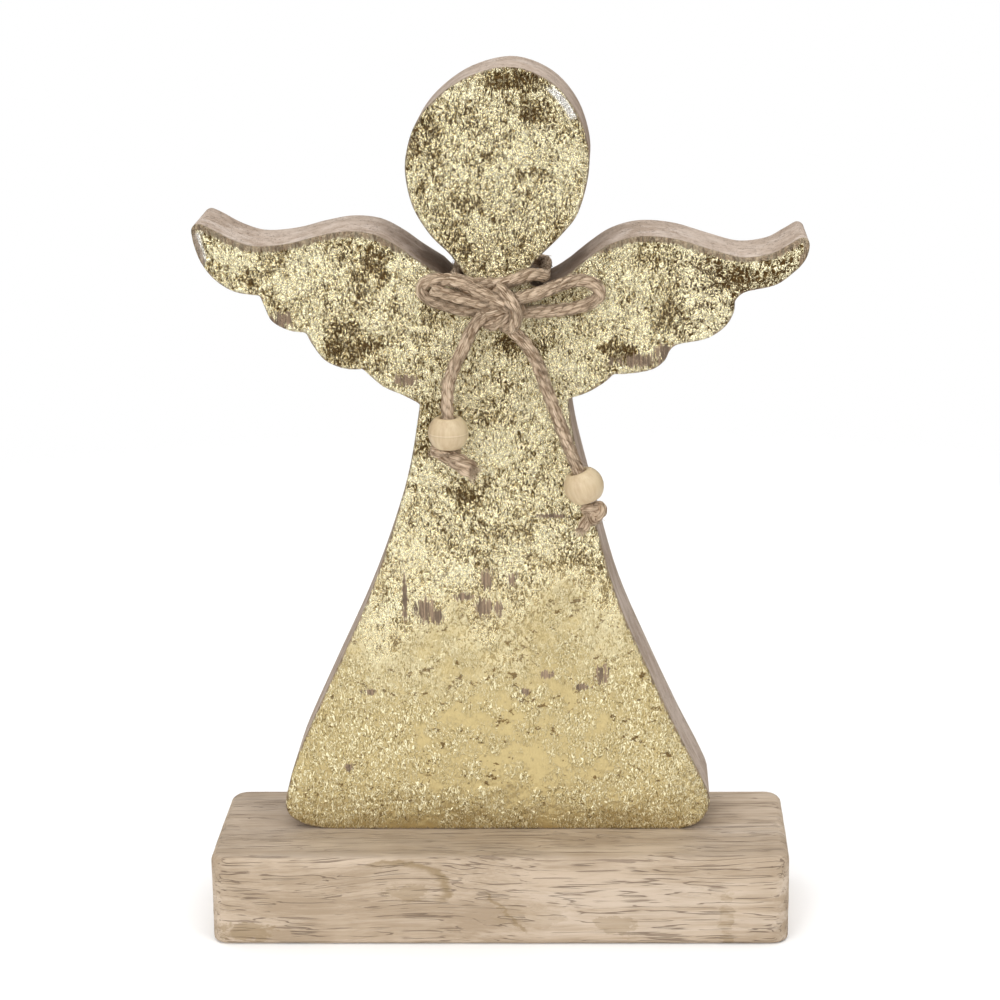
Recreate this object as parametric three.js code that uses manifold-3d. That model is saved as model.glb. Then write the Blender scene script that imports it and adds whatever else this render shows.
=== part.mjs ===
// Gilded plank angel on a wooden base, with a jute bow and two beads.
// Millimetres, +Z up, front faces -Y. The origin is on the ground under the middle of the piece.
import * as THREE from 'three';
import { mergeVertices } from 'three/addons/utils/BufferGeometryUtils.js';
import Module from 'manifold-3d';

const wasm = await Module();
wasm.setup();

// ---- driving dimensions ----
const gap = 0.3;                       // clearance kept between neighbouring pieces

const plankThickness = 24;             // figure and base are cut from the same stock
const baseDepth = 46;
const baseLeft = -74.9;
const baseRight = 72.1;
const baseCorner = 3;                  // plan corner radius
const baseEdge = 0.9;                  // eased edge
const figureFront = -4.3;              // plane of the gilded face
const leafThickness = 0.3;
const curveSteps = 5;                  // segments for each stretch of a curved outline

const twineRadius = 1.5;
const twineSides = 8;
const twineStep = 2;                   // length of one tube segment
const tailOut = 5.35;                  // twine axis to gilded face, so a bead just clears the face

const outFromFace = (x, out, z) => new THREE.Vector3(x, figureFront - out, z);
const knotCentre = outFromFace(1.2, 5, 163.3);
const knotRadius = 4.6;
const knotHalfWidth = 5.6;

const beadRadius = 5;
const beadHeight = 7.7;
const beadHole = 2.1;
const beadFace = 3.3;                  // radius of the flat ring round the hole
const leftBeadCentre = outFromFace(-13.3, tailOut, 132);
const rightBeadCentre = outFromFace(20.2, tailOut, 118.3);
const rightTailTilt = 20;              // degrees from plumb, lower end out to +X
const endKnotRadius = 2.9;
const endKnotHalfLength = 3.5;

const screwXs = [-28, 24];
const screwY = 8;
const screwShank = 2;
const screwHead = 4;
const screwHeadDepth = 2.2;
const screwSunk = 0.6;                 // head sits this far inside the underside
const screwTip = 40;
const screwCone = 4;
const recessArm = 4.4;
const recessWidth = 0.9;
const recessDepth = 1.3;

// ---- materials ----
const wood = () => new THREE.MeshStandardMaterial({ color: 0xc3af97, roughness: 0.8, metalness: 0 });
const gold = () => new THREE.MeshStandardMaterial({ color: 0xd6bd7c, roughness: 0.35, metalness: 0.9 });
const jute = () => new THREE.MeshStandardMaterial({ color: 0xb39d84, roughness: 0.95, metalness: 0 });
const paleWood = () => new THREE.MeshStandardMaterial({ color: 0xe6d2ae, roughness: 0.6, metalness: 0 });
const steel = () => new THREE.MeshStandardMaterial({ color: 0x9a9a98, roughness: 0.35, metalness: 1 });

// ---- solids and booleans ----
function bare(geometry) {
  const copy = geometry.clone();
  copy.deleteAttribute('normal');
  copy.deleteAttribute('uv');
  return mergeVertices(copy, 1e-4);
}

function solid(geometry) {
  const merged = bare(geometry);
  return new wasm.Manifold(new wasm.Mesh({
    numProp: 3,
    vertProperties: new Float32Array(merged.attributes.position.array),
    triVerts: new Uint32Array(merged.index.array),
  }));
}

function geometryOf(manifold) {
  const mesh = manifold.getMesh();
  const geometry = new THREE.BufferGeometry();
  geometry.setAttribute('position', new THREE.BufferAttribute(mesh.vertProperties, 3));
  geometry.setIndex(new THREE.BufferAttribute(mesh.triVerts, 1));
  geometry.computeVertexNormals();
  return geometry;
}

function cut(geometry, ...tools) {
  return geometryOf(tools.reduce((body, tool) => body.subtract(solid(tool)), solid(geometry)));
}

// A turned shape: profile points are [radius, height], and the axis is Z.
function turned(profile, sides) {
  const points = profile.map(([r, z]) => new THREE.Vector2(r, z));
  return new THREE.LatheGeometry(points, sides).rotateX(Math.PI / 2);
}

// ---- figure outline, seen from the front: [x, z] ----
const headOutline = [
  [-9, 170.5], [-12.4, 175.5], [-17.2, 180.4], [-21.2, 187], [-22.9, 194], [-22.8, 200], [-20.4, 207.5],
  [-15, 214], [-7, 219.2], [3, 221.3], [12.2, 217.9], [18.4, 211], [21.4, 202.5], [21.5, 195],
  [19, 186], [15.1, 180.7], [9.2, 174.8], [6.2, 171],
];
const rightNotch = [[6.2, 171], [7.2, 168.5], [10, 167.2], [13.4, 168.6], [16.8, 170.9]];
const rightWingTop = [
  [16.8, 170.9], [21.9, 175], [27.1, 178.3], [34, 180.1], [42.5, 179.5], [51, 177], [59, 174.9],
  [66, 175.7], [70.3, 177.9], [73, 179.5], [73.9, 179.8], [74.8, 179.55], [75.45, 178.9], [75.7, 178],
];
const rightWingFeathers = [
  [
    [75.7, 178], [75.4, 176], [74.4, 173.8], [72.2, 171.4], [67.5, 168], [60, 166.2], [57.5, 164],
  ],
  [[57.5, 164], [57.2, 161], [55, 157.4], [50.5, 154.5], [43.4, 153], [41.3, 151.2]],
  [[41.3, 151.2], [40.2, 148.9], [37.2, 146.7], [32, 145.7], [27.6, 145.5]],
  [[27.6, 145.5], [25.2, 143.3], [21, 140.8], [16.3, 139.2]],
];
const dressRight = [
  [16.3, 139.2], [17.8, 128.6], [21.6, 113], [28.2, 88], [36.6, 67.5], [44.2, 50.6], [50, 38.9],
  [52.5, 32.4], [51.6, 28.2], [49, 25.4], [45, 24],
];
const dressLeft = [
  [-45, 24], [-51, 24.7], [-55.9, 27], [-57.6, 30.5], [-56.8, 35.5], [-53.9, 44.8], [-45.6, 63.2],
  [-36.2, 83.6], [-29.4, 101.5], [-23.6, 121], [-20.6, 137.9],
];
const leftWingFeathers = [
  [[-20.6, 137.9], [-24.7, 140.1], [-29.4, 142.2], [-32.6, 144.9], [-34.6, 146.8]],
  [[-34.6, 146.8], [-39, 146.9], [-43.6, 148.8], [-46.6, 152.5], [-48.4, 156]],
  [[-48.4, 156], [-52.6, 156.6], [-56.6, 158.8], [-58.3, 162.2], [-59.4, 165.3]],
  [
    [-59.4, 165.3], [-65.6, 166.3], [-70.4, 169.3], [-73.6, 173.6], [-75.2, 178.2], [-75.7, 181.4],
  ],
];
const leftWingTop = [
  [-75.7, 181.4], [-75.45, 182.3], [-74.8, 182.95], [-73.9, 183.2], [-73.1, 183], [-71, 182],
  [-66, 179.3], [-60, 177.6], [-52, 178.3], [-45, 180.1], [-38, 181.3], [-31.2, 180.6], [-25.6, 177.8],
  [-20.7, 174.3], [-15.4, 170.9],
];
const leftNotch = [[-15.4, 170.9], [-13, 168.6], [-11, 167.3], [-9.3, 168.3], [-9, 170.5]];

function figureShape() {
  const stretches = [
    headOutline, rightNotch, rightWingTop, ...rightWingFeathers, dressRight,
    dressLeft, ...leftWingFeathers, leftWingTop, leftNotch,
  ];
  const shape = new THREE.Shape();
  shape.moveTo(...headOutline[0]);
  for (const stretch of stretches) {
    const [start, ...rest] = stretch.map(([x, z]) => new THREE.Vector2(x, z));
    if (!shape.currentPoint.equals(start)) shape.lineTo(start.x, start.y);
    shape.splineThru(rest);
  }
  return shape;
}

// Extrudes a front-view shape between two depths; front is the smaller Y.
function slab(shape, front, back) {
  const geometry = new THREE.ExtrudeGeometry(shape, {
    depth: back - front, bevelEnabled: false, curveSegments: curveSteps,
  });
  return geometry.rotateX(Math.PI / 2).translate(0, back, 0);
}

// ---- screws ----
function screwHole(x) {
  const shank = screwShank + gap;
  const head = screwHead + gap;
  const top = screwTip + gap;
  const hole = turned([
    [0, -1], [head, -1], [head, screwSunk + 0.3 + gap], [shank, screwSunk + screwHeadDepth + gap],
    [shank, top], [0, top],
  ], 24);
  return hole.translate(x, screwY, 0);
}

function screw(x) {
  const body = turned([
    [0, screwSunk], [screwHead, screwSunk], [screwHead, screwSunk + 0.3],
    [screwShank, screwSunk + screwHeadDepth], [screwShank, screwTip - screwCone], [0, screwTip],
  ], 24);
  const arms = [[recessArm, recessWidth], [recessWidth, recessArm]].map(([w, d]) =>
    new THREE.BoxGeometry(w, d, 2 * recessDepth).translate(0, 0, screwSunk));
  return cut(body, ...arms).translate(x, screwY, 0);
}

// ---- base and figure ----
function baseBlock() {
  const width = baseRight - baseLeft;
  const [x, y, r] = [width / 2, baseDepth / 2, baseCorner];
  const shape = new THREE.Shape();
  shape.moveTo(-x + r, -y);
  shape.lineTo(x - r, -y);
  shape.absarc(x - r, -y + r, r, -Math.PI / 2, 0);
  shape.lineTo(x, y - r);
  shape.absarc(x - r, y - r, r, 0, Math.PI / 2);
  shape.lineTo(-x + r, y);
  shape.absarc(-x + r, y - r, r, Math.PI / 2, Math.PI);
  shape.lineTo(-x, -y + r);
  shape.absarc(-x + r, -y + r, r, Math.PI, Math.PI * 1.5);
  const block = new THREE.ExtrudeGeometry(shape, {
    depth: plankThickness - 2 * baseEdge, curveSegments: 4,
    bevelThickness: baseEdge, bevelSize: baseEdge, bevelOffset: -baseEdge, bevelSegments: 2,
  });
  block.translate((baseLeft + baseRight) / 2, 0, baseEdge);
  return cut(block, ...screwXs.map(screwHole));
}

function angelFigure() {
  const figureBack = figureFront + plankThickness;
  const body = slab(figureShape(), figureFront + leafThickness, figureBack);
  return cut(body, ...screwXs.map(screwHole));
}

function goldLeaf() {
  return slab(figureShape(), figureFront, figureFront + leafThickness);
}

// ---- twine; a route lists [x, distance out from the gilded face, z] ----
const curveThrough = (route, closed) =>
  new THREE.CatmullRomCurve3(route.map((stop) => outFromFace(...stop)), closed);

function twineSection() {
  const section = new THREE.Shape();
  for (let i = 0; i < twineSides; i++) {
    const angle = (i / twineSides) * 2 * Math.PI;
    const [u, v] = [twineRadius * Math.cos(angle), twineRadius * Math.sin(angle)];
    if (i === 0) section.moveTo(u, v);
    else section.lineTo(u, v);
  }
  return section;
}

function twine(route) {
  const path = curveThrough(route, false);
  const steps = Math.ceil(path.getLength() / twineStep);
  return new THREE.ExtrudeGeometry(twineSection(), { steps, extrudePath: path, bevelEnabled: false });
}

// A closed ring of twine: sections round the path, each joined to the next and the last to the first.
function twineRing(route) {
  const path = curveThrough(route, true);
  const steps = Math.ceil(path.getLength() / twineStep);
  const { normals, binormals } = path.computeFrenetFrames(steps, true);
  const corners = [];
  const triangles = [];
  for (let i = 0; i < steps; i++) {
    const next = (i + 1) % steps;
    for (let j = 0; j < twineSides; j++) {
      const angle = (j / twineSides) * 2 * Math.PI;
      const corner = path.getPointAt(i / steps)
        .addScaledVector(normals[i], twineRadius * Math.cos(angle))
        .addScaledVector(binormals[i], twineRadius * Math.sin(angle));
      corners.push(...corner.toArray());
      const [a, b] = [i * twineSides + j, i * twineSides + (j + 1) % twineSides];
      const [c, d] = [next * twineSides + j, next * twineSides + (j + 1) % twineSides];
      triangles.push(a, b, c, b, d, c);
    }
  }
  const ring = new THREE.BufferGeometry();
  ring.setAttribute('position', new THREE.Float32BufferAttribute(corners, 3));
  ring.setIndex(triangles);
  return ring;
}

const neckFront = 1.9;
const neckBehind = -plankThickness - 1.8;
const neckRoute = [
  [-11.2, -12, 169.4], [-11.4, -1.6, 169.6], [-10.4, 1, 169.5], [-7.8, neckFront, 169],
  [-2.6, neckFront, 168.6], [2, neckFront, 169.3], [6.6, neckFront, 170.9], [9.4, 1, 170.9],
  [10.4, -1.6, 170.1], [10.3, -12, 169.4], [10.3, -22.4, 169.4], [9.7, -25, 169.3],
  [7, neckBehind, 169], [-0.5, neckBehind, 168.7], [-7.8, neckBehind, 169], [-10.6, -25, 169.3],
  [-11.2, -22.4, 169.4],
];
const leftLoopRoute = [
  [-1.2, 5.6, 165.6], [-5.4, 5.7, 167.9], [-9.8, 5.7, 169.9], [-14.4, 4.6, 170.4], [-18, 3.5, 169.6],
  [-19.4, 3, 167.7], [-18.2, 2.6, 165.7], [-14.8, 2.4, 164], [-10.8, 2.4, 162.7], [-7, 2.5, 162.1],
  [-2.5, 3, 162.6],
];
const rightLoopRoute = [
  [3, 3, 162.2], [8, 2.5, 161.8], [13, 2.4, 162.2], [18, 2.4, 162.9], [22.2, 2.7, 164.3],
  [24.4, 3.3, 166.6], [22.6, 4, 169.3], [18.8, 4.4, 170.2], [14.2, 4.8, 168.9], [9.2, 5, 167],
  [4, 5.2, 165.6],
];

// A stop on the right tail's straight stretch, measured up along it from the bead's centre.
const tiltAngle = THREE.MathUtils.degToRad(rightTailTilt);
const alongRightTail = (distance) => [
  rightBeadCentre.x - distance * Math.sin(tiltAngle), tailOut,
  rightBeadCentre.z + distance * Math.cos(tiltAngle),
];
const alongLeftTail = (distance) => [leftBeadCentre.x, tailOut, leftBeadCentre.z + distance];

const tailEnd = -beadHeight / 2;
const leftTailRoute = [
  [-2.6, 5.4, 162.4], [-5.6, 5.5, 160.2], [-7.6, 5.4, 157], [-9.2, tailOut, 153.4],
  [-11.2, tailOut, 149.4], [-12.9, tailOut, 145], alongLeftTail(9), alongLeftTail(5),
  alongLeftTail(1), alongLeftTail(tailEnd),
];
const rightTailRoute = [
  [0.8, 5.4, 159.6], [3.4, 5.5, 157.3], [6, 5.4, 154.6], alongRightTail(34), alongRightTail(27),
  alongRightTail(20), alongRightTail(13), alongRightTail(6), alongRightTail(tailEnd),
];

function knotSolid(clearance) {
  const sphere = new THREE.SphereGeometry(1, 20, 12).rotateZ(Math.PI / 2);
  const r = knotRadius + clearance;
  return sphere.scale(knotHalfWidth + clearance, r, r).translate(...knotCentre.toArray());
}

function bead(centre, tilt) {
  const half = beadHeight / 2;
  const profile = [
    [beadHole + 0.3, -half], [beadHole, -half + 0.4], [beadHole, half - 0.4], [beadHole + 0.3, half],
  ];
  const arcSteps = 8;
  const flank = Math.acos(beadFace / beadRadius);
  for (let i = 0; i <= arcSteps; i++) {
    const angle = flank * (1 - (2 * i) / arcSteps);
    profile.push([beadRadius * Math.cos(angle), half * Math.sin(angle) / Math.sin(flank)]);
  }
  profile.push(profile[0]);
  profile.reverse();
  return turned(profile, 24).rotateY(-tilt).translate(...centre.toArray());
}

// A stopper knot pulled up against the bead, on the same axis as the twine.
function endKnot(beadCentre, tilt) {
  const below = beadHeight / 2 + gap + endKnotHalfLength;
  const up = new THREE.Vector3(-Math.sin(tilt), 0, Math.cos(tilt));
  const centre = up.multiplyScalar(-below).add(beadCentre);
  return new THREE.SphereGeometry(1, 14, 10).rotateX(Math.PI / 2)
    .scale(endKnotRadius, endKnotRadius, endKnotHalfLength)
    .rotateY(-tilt).translate(...centre.toArray());
}

// ---- assembly ----
const angel = new THREE.Group();

function add(name, geometry, material) {
  const mesh = new THREE.Mesh(geometry, material);
  mesh.name = name;
  angel.add(mesh);
}

add('base_block', baseBlock(), wood());
add('angel_figure', angelFigure(), wood());
add('gold_leaf', goldLeaf(), gold());
screwXs.forEach((x, i) => add(['base_screw_left', 'base_screw_right'][i], screw(x), steel()));
add('twine_neck_band', twineRing(neckRoute), jute());
add('twine_bow_knot', knotSolid(0), jute());
add('twine_loop_left', cut(twine(leftLoopRoute), knotSolid(gap)), jute());
add('twine_loop_right', cut(twine(rightLoopRoute), knotSolid(gap)), jute());
add('twine_tail_left', cut(twine(leftTailRoute), knotSolid(gap)), jute());
add('twine_tail_right', cut(twine(rightTailRoute), knotSolid(gap)), jute());
add('end_knot_left', endKnot(leftBeadCentre, 0), jute());
add('end_knot_right', endKnot(rightBeadCentre, tiltAngle), jute());
add('bead_left', bead(leftBeadCentre, 0), paleWood());
add('bead_right', bead(rightBeadCentre, tiltAngle), paleWood());

export default angel;
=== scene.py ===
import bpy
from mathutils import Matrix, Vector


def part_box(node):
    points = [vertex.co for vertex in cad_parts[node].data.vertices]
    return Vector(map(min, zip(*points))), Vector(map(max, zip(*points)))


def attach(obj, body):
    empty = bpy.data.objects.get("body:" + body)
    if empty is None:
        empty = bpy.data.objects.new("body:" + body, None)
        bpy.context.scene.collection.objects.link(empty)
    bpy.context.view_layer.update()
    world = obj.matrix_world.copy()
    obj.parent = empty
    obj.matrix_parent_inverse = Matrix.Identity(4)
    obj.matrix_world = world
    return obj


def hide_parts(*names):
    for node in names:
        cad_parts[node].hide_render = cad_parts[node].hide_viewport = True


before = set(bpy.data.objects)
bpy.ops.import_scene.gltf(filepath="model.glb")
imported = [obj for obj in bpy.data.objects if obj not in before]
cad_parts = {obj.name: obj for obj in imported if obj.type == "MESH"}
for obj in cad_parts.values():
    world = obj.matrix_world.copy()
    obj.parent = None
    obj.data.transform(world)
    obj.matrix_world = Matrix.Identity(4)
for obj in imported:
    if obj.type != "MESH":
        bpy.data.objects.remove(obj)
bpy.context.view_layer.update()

import math
import random

import bpy
from mathutils import Quaternion, Vector, noise
from mathutils.kdtree import KDTree

bl_info = {
    "name": "Gilded Plank Angel",
    "version": (1, 0, 0),
    "blender": (4, 5, 0),
    "location": "View3D > Sidebar > Angel",
    "description": "A gilded wooden angel on a base block, with a jute bow and two beads",
    "category": "Add Mesh",
}

MM = 0.001
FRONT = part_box("gold_leaf")[0].y           # plane of the gilded face
WOOD_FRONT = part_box("angel_figure")[0].y
WOOD_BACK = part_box("angel_figure")[1].y
BASE_LOW, BASE_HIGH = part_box("base_block")
PLIES = 3
FIBRE_RIDGES = 7                           # ridges round one ply


# ---------------------------------------------------------------- sizes and colours to change
def length(name, description, millimetres):
    return bpy.props.FloatProperty(
        name=name, description=description, default=millimetres * MM, min=0.0, unit="LENGTH"
    )


def colour(name, description, value):
    return bpy.props.FloatVectorProperty(
        name=name, description=description, default=value, size=3, min=0.0, max=1.0, subtype="COLOR"
    )


class AngelWood(bpy.types.PropertyGroup):
    corner: length("Base Corner", "Rounding of the base block's upright corners", 4.5)
    edge: length("Base Edge", "Rounding round the top of the base block", 2.2)
    foot: length("Base Foot", "Rounding round the bottom of the base block", 0.9)
    unevenness: length("Unevenness", "How far the sanded base block strays from flat", 0.3)
    plank_edge: length("Plank Edge", "Rounding of the plank's front and back edges", 0.8)
    screw_hole: length("Screw Hole", "Radius of the holes for the two screws", 2.2)
    base_pale: colour("Base Pale", "Washed base wood", (0.52, 0.415, 0.31))
    base_dark: colour("Base Dark", "Base wood in the bands of the grain", (0.35, 0.265, 0.18))
    plank_pale: colour("Plank Pale", "Washed plank wood", (0.52, 0.425, 0.35))
    plank_dark: colour("Plank Dark", "Plank wood in the bands of the grain", (0.36, 0.275, 0.21))
    # Also used as painted shade on the plank's inner sides by the neck.
    pore_and_shade: colour("Pore", "Open pores and cracks", (0.15, 0.10, 0.065))
    stain: colour("Stain", "Water marks and knots", (0.25, 0.175, 0.085))
    # Painted shade on the top of the base block.
    shaded_top: colour("Greyed", "Weathered top of the base block", (0.31, 0.25, 0.195))


class AngelLeaf(bpy.types.PropertyGroup):
    sheet_step: length("Sheet Step", "Spacing of the points of the crinkled sheet", 0.4)
    fold: length("Fold", "Height of the folds in the sheet", 0.22)
    satin: colour("Satin", "Calm gold of the skirt", (0.61, 0.49, 0.24))
    dull: colour("Dull", "Mottled gold across the waist", (0.4, 0.3, 0.13))
    # Painted highlight on the crinkles' ridges, the skirt's strokes and the thin wires.
    bright: colour("Bright", "Ridges of the crinkles", (1.0, 0.93, 0.64))
    # Painted highlight: near-white glare on two spots of the rim.
    glare: colour("Polished", "Two bare, shiny spots on the rim", (1.0, 0.98, 0.92))
    # Painted shade in the crinkles' valleys; it also darkens the right wing's tip between the ridges and
    # colours the nicks and cracks.
    tarnish_and_shade: colour("Tarnish", "Valleys of the crinkles", (0.085, 0.045, 0.012))
    bare: colour("Bare", "Wood where the leaf has worn away", (0.36, 0.255, 0.165))


class AngelTwine(bpy.types.PropertyGroup):
    diameter: length("Diameter", "Thickness of the jute twine", 3.0)
    ply_radius: length("Ply Radius", "Radius of one of the three plies", 0.92)
    ply_offset: length("Ply Offset", "From the twine's middle to a ply's middle", 0.66)
    lay: length("Lay", "Length of one full turn of the plies", 8.0)
    hairs: bpy.props.FloatProperty(
        name="Hairs", description="Loose fibres on each millimetre of twine", default=3.0, min=0.0
    )
    pale: colour("Pale", "Outer fibres", (0.66, 0.515, 0.37))
    dark: colour("Dark", "Fibres between the plies", (0.19, 0.12, 0.065))
    # Painted highlight on a few fibres.
    fibre_highlight: colour("Bleached", "The few palest fibres", (0.80, 0.68, 0.53))


class AngelBeads(bpy.types.PropertyGroup):
    radius: length("Radius", "Radius of a bead", 5.0)
    height: length("Height", "Height of a bead along its hole", 7.7)
    hole: length("Hole", "Radius of the hole", 2.1)
    pale: colour("Pale", "Unpainted bead wood", (0.66, 0.54, 0.35))
    dark: colour("Dark", "Grain of the bead wood", (0.52, 0.39, 0.24))
    # Painted highlight just above the bead's middle line.
    lip_highlight: colour("Lip", "Bright edge above a bead's middle line", (0.9, 0.78, 0.58))


class AngelSettings(bpy.types.PropertyGroup):
    wood: bpy.props.PointerProperty(type=AngelWood)
    leaf: bpy.props.PointerProperty(type=AngelLeaf)
    twine: bpy.props.PointerProperty(type=AngelTwine)
    beads: bpy.props.PointerProperty(type=AngelBeads)


def settings():
    return bpy.context.scene.angel


# ---------------------------------------------------------------- shader expressions
class Wire:
    """A value in a material. Arithmetic on it adds the Math nodes that work it out."""

    def __init__(self, finish, socket):
        self.finish = finish
        self.socket = socket

    def maths(self, operation, *others, clamp=False):
        values = {0: self}
        values.update({i + 1: other for i, other in enumerate(others)})
        return self.finish.node("ShaderNodeMath", {"operation": operation, "use_clamp": clamp}, values)

    def __add__(self, other):
        return self.maths("ADD", other)

    def __mul__(self, other):
        return self.maths("MULTIPLY", other)

    def __sub__(self, other):
        return self.maths("SUBTRACT", other)

    def __rsub__(self, other):
        return self.maths("MULTIPLY_ADD", -1.0, other)

    def __pow__(self, other):
        return self.maths("POWER", other)

    def __abs__(self):
        return self.maths("ABSOLUTE")

    __radd__ = __add__
    __rmul__ = __mul__

    def higher(self, other):
        return self.maths("MAXIMUM", other)

    def clamped(self):
        return self.maths("ADD", 0.0, clamp=True)

    def ramp(self, start, end, low=0.0, high=1.0):
        """Eases from low to high as the value goes from start to end."""
        return self.finish.node(
            "ShaderNodeMapRange",
            {"interpolation_type": "SMOOTHSTEP"},
            {0: self, 1: start, 2: end, 3: low, 4: high},
        )


class Finish:
    """One material, written with the fewest words: node() adds any node and returns its output."""

    def __init__(self, name):
        self.material = bpy.data.materials.new(name)
        self.material.use_nodes = True
        self.tree = self.material.node_tree
        self.surface = self.tree.nodes["Principled BSDF"]

    def node(self, kind, settings=None, values=None, output=0):
        made = self.tree.nodes.new(kind)
        for name, value in (settings or {}).items():
            setattr(made, name, value)
        for name, value in (values or {}).items():
            self.plug(made.inputs[name], value)
        return Wire(self, made.outputs[output])

    def plug(self, socket, value):
        if isinstance(value, Wire):
            self.tree.links.new(value.socket, socket)
        elif hasattr(value, "__len__") and len(value) == 3 and socket.type == "RGBA":
            socket.default_value = (*value, 1.0)
        else:
            socket.default_value = value

    def set(self, **values):
        """Sets or links the surface shader's sockets; base_color means Base Color."""
        for name, value in values.items():
            self.plug(self.surface.inputs[name.replace("_", " ").title()], value)
        return self.material

    def place(self, scale=(1, 1, 1), turn=(0, 0, 0), shift=(0, 0, 0)):
        """Object coordinates in millimetres, stretched, turned and moved."""
        point = self.node("ShaderNodeTexCoord", output="Object")
        return self.node(
            "ShaderNodeMapping",
            {},
            {
                "Vector": point,
                "Scale": [s / MM for s in scale],
                "Rotation": [math.radians(t) for t in turn],
                "Location": shift,
            },
        )

    def axis(self, name, vector):
        return self.node("ShaderNodeSeparateXYZ", {}, {0: vector}, output=name)

    def noise(self, size, vector, detail=2.0, rough=0.5, warp=0.0):
        """Cloudy noise with features of about size millimetres, from 0 to 1."""
        values = {"Vector": vector, "Scale": 1.0 / size, "Detail": detail, "Roughness": rough}
        return self.node("ShaderNodeTexNoise", {}, {**values, "Distortion": warp})

    def mix(self, factor, first, second):
        """A colour between two others."""
        made = self.tree.nodes.new("ShaderNodeMix")
        made.data_type = "RGBA"
        for name, value in (("Factor_Float", factor), ("A_Color", first), ("B_Color", second)):
            socket = next(s for s in made.inputs if s.identifier == name)
            self.plug(socket, value)
        return Wire(self, next(s for s in made.outputs if s.identifier == "Result_Color"))

    def bump(self, height, distance, strength=1.0, normal=None):
        """Height from 0 to 1 over distance millimetres."""
        values = {"Height": height, "Distance": distance * MM, "Strength": strength}
        if normal:
            values["Normal"] = normal
        return self.node("ShaderNodeBump", {}, values)


# ---------------------------------------------------------------- mesh helpers
def deselect():
    if bpy.context.object and bpy.context.object.mode != "OBJECT":
        bpy.ops.object.mode_set(mode="OBJECT")
    bpy.ops.object.select_all(action="DESELECT")


def take(piece):
    """Makes the piece the one selected, active object."""
    deselect()
    piece.select_set(True)
    bpy.context.view_layer.objects.active = piece


def edit_all(piece):
    """Opens the piece in edit mode with everything selected."""
    take(piece)
    bpy.ops.object.mode_set(mode="EDIT")
    bpy.ops.mesh.select_all(action="SELECT")


def cut_off(plane_co, plane_no):
    """Takes away what is selected beyond a plane, closes the cut and leaves edit mode."""
    bpy.ops.mesh.bisect(plane_co=plane_co, plane_no=plane_no, clear_outer=True, use_fill=True)
    bpy.ops.object.mode_set(mode="OBJECT")


def copy_of_node(node, name):
    """A new piece with the CAD node's shape, its loose triangles joined and flat faces made whole."""
    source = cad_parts[node]
    piece = bpy.data.objects.new(name, source.data.copy())
    bpy.context.scene.collection.objects.link(piece)
    piece.data.materials.clear()
    edit_all(piece)
    bpy.ops.mesh.remove_doubles(threshold=0.002 * MM)
    bpy.ops.mesh.dissolve_limited(angle_limit=math.radians(0.5))
    bpy.ops.mesh.customdata_custom_splitnormals_clear()
    bpy.ops.object.mode_set(mode="OBJECT")
    return piece


def apply_modifier(piece, kind, **values):
    take(piece)
    modifier = piece.modifiers.new(kind.title(), kind)
    for name, value in values.items():
        setattr(modifier, name, value)
    bpy.ops.object.modifier_apply(modifier=modifier.name)


def select_where(piece, test, mode="EDGE"):
    """Leaves the piece in edit mode with only the edges or faces selected whose points pass the test."""
    take(piece)
    bpy.ops.object.mode_set(mode="EDIT")
    bpy.ops.mesh.select_mode(type=mode)
    bpy.ops.mesh.select_all(action="DESELECT")
    bpy.ops.object.mode_set(mode="OBJECT")
    points = piece.data.vertices
    parts = piece.data.edges if mode == "EDGE" else piece.data.polygons
    for part in parts:
        part.select = test([points[i].co for i in part.vertices])
    bpy.ops.object.mode_set(mode="EDIT")


def smooth(piece, angle=35):
    take(piece)
    bpy.ops.object.shade_smooth_by_angle(angle=math.radians(angle))


def dress(piece, material, slot, body, *nodes):
    """Gives the finished piece its material, its body and the nodes it stands for. The slot is not used.
    """
    piece.data.materials.clear()
    piece.data.materials.append(material)
    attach(piece, body)
    if nodes:
        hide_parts(*nodes)


# ---------------------------------------------------------------- finishes
def oval(x, z, spot, ragged):
    """A mask, 1 inside a ragged oval (x, z, half width, half height) in millimetres."""
    across = (x - spot[0]) * (1 / spot[2])
    up = (z - spot[1]) * (1 / spot[3])
    return ((across * across + up * up) ** 0.5 + ragged).ramp(1.0, 0.72)


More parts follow.
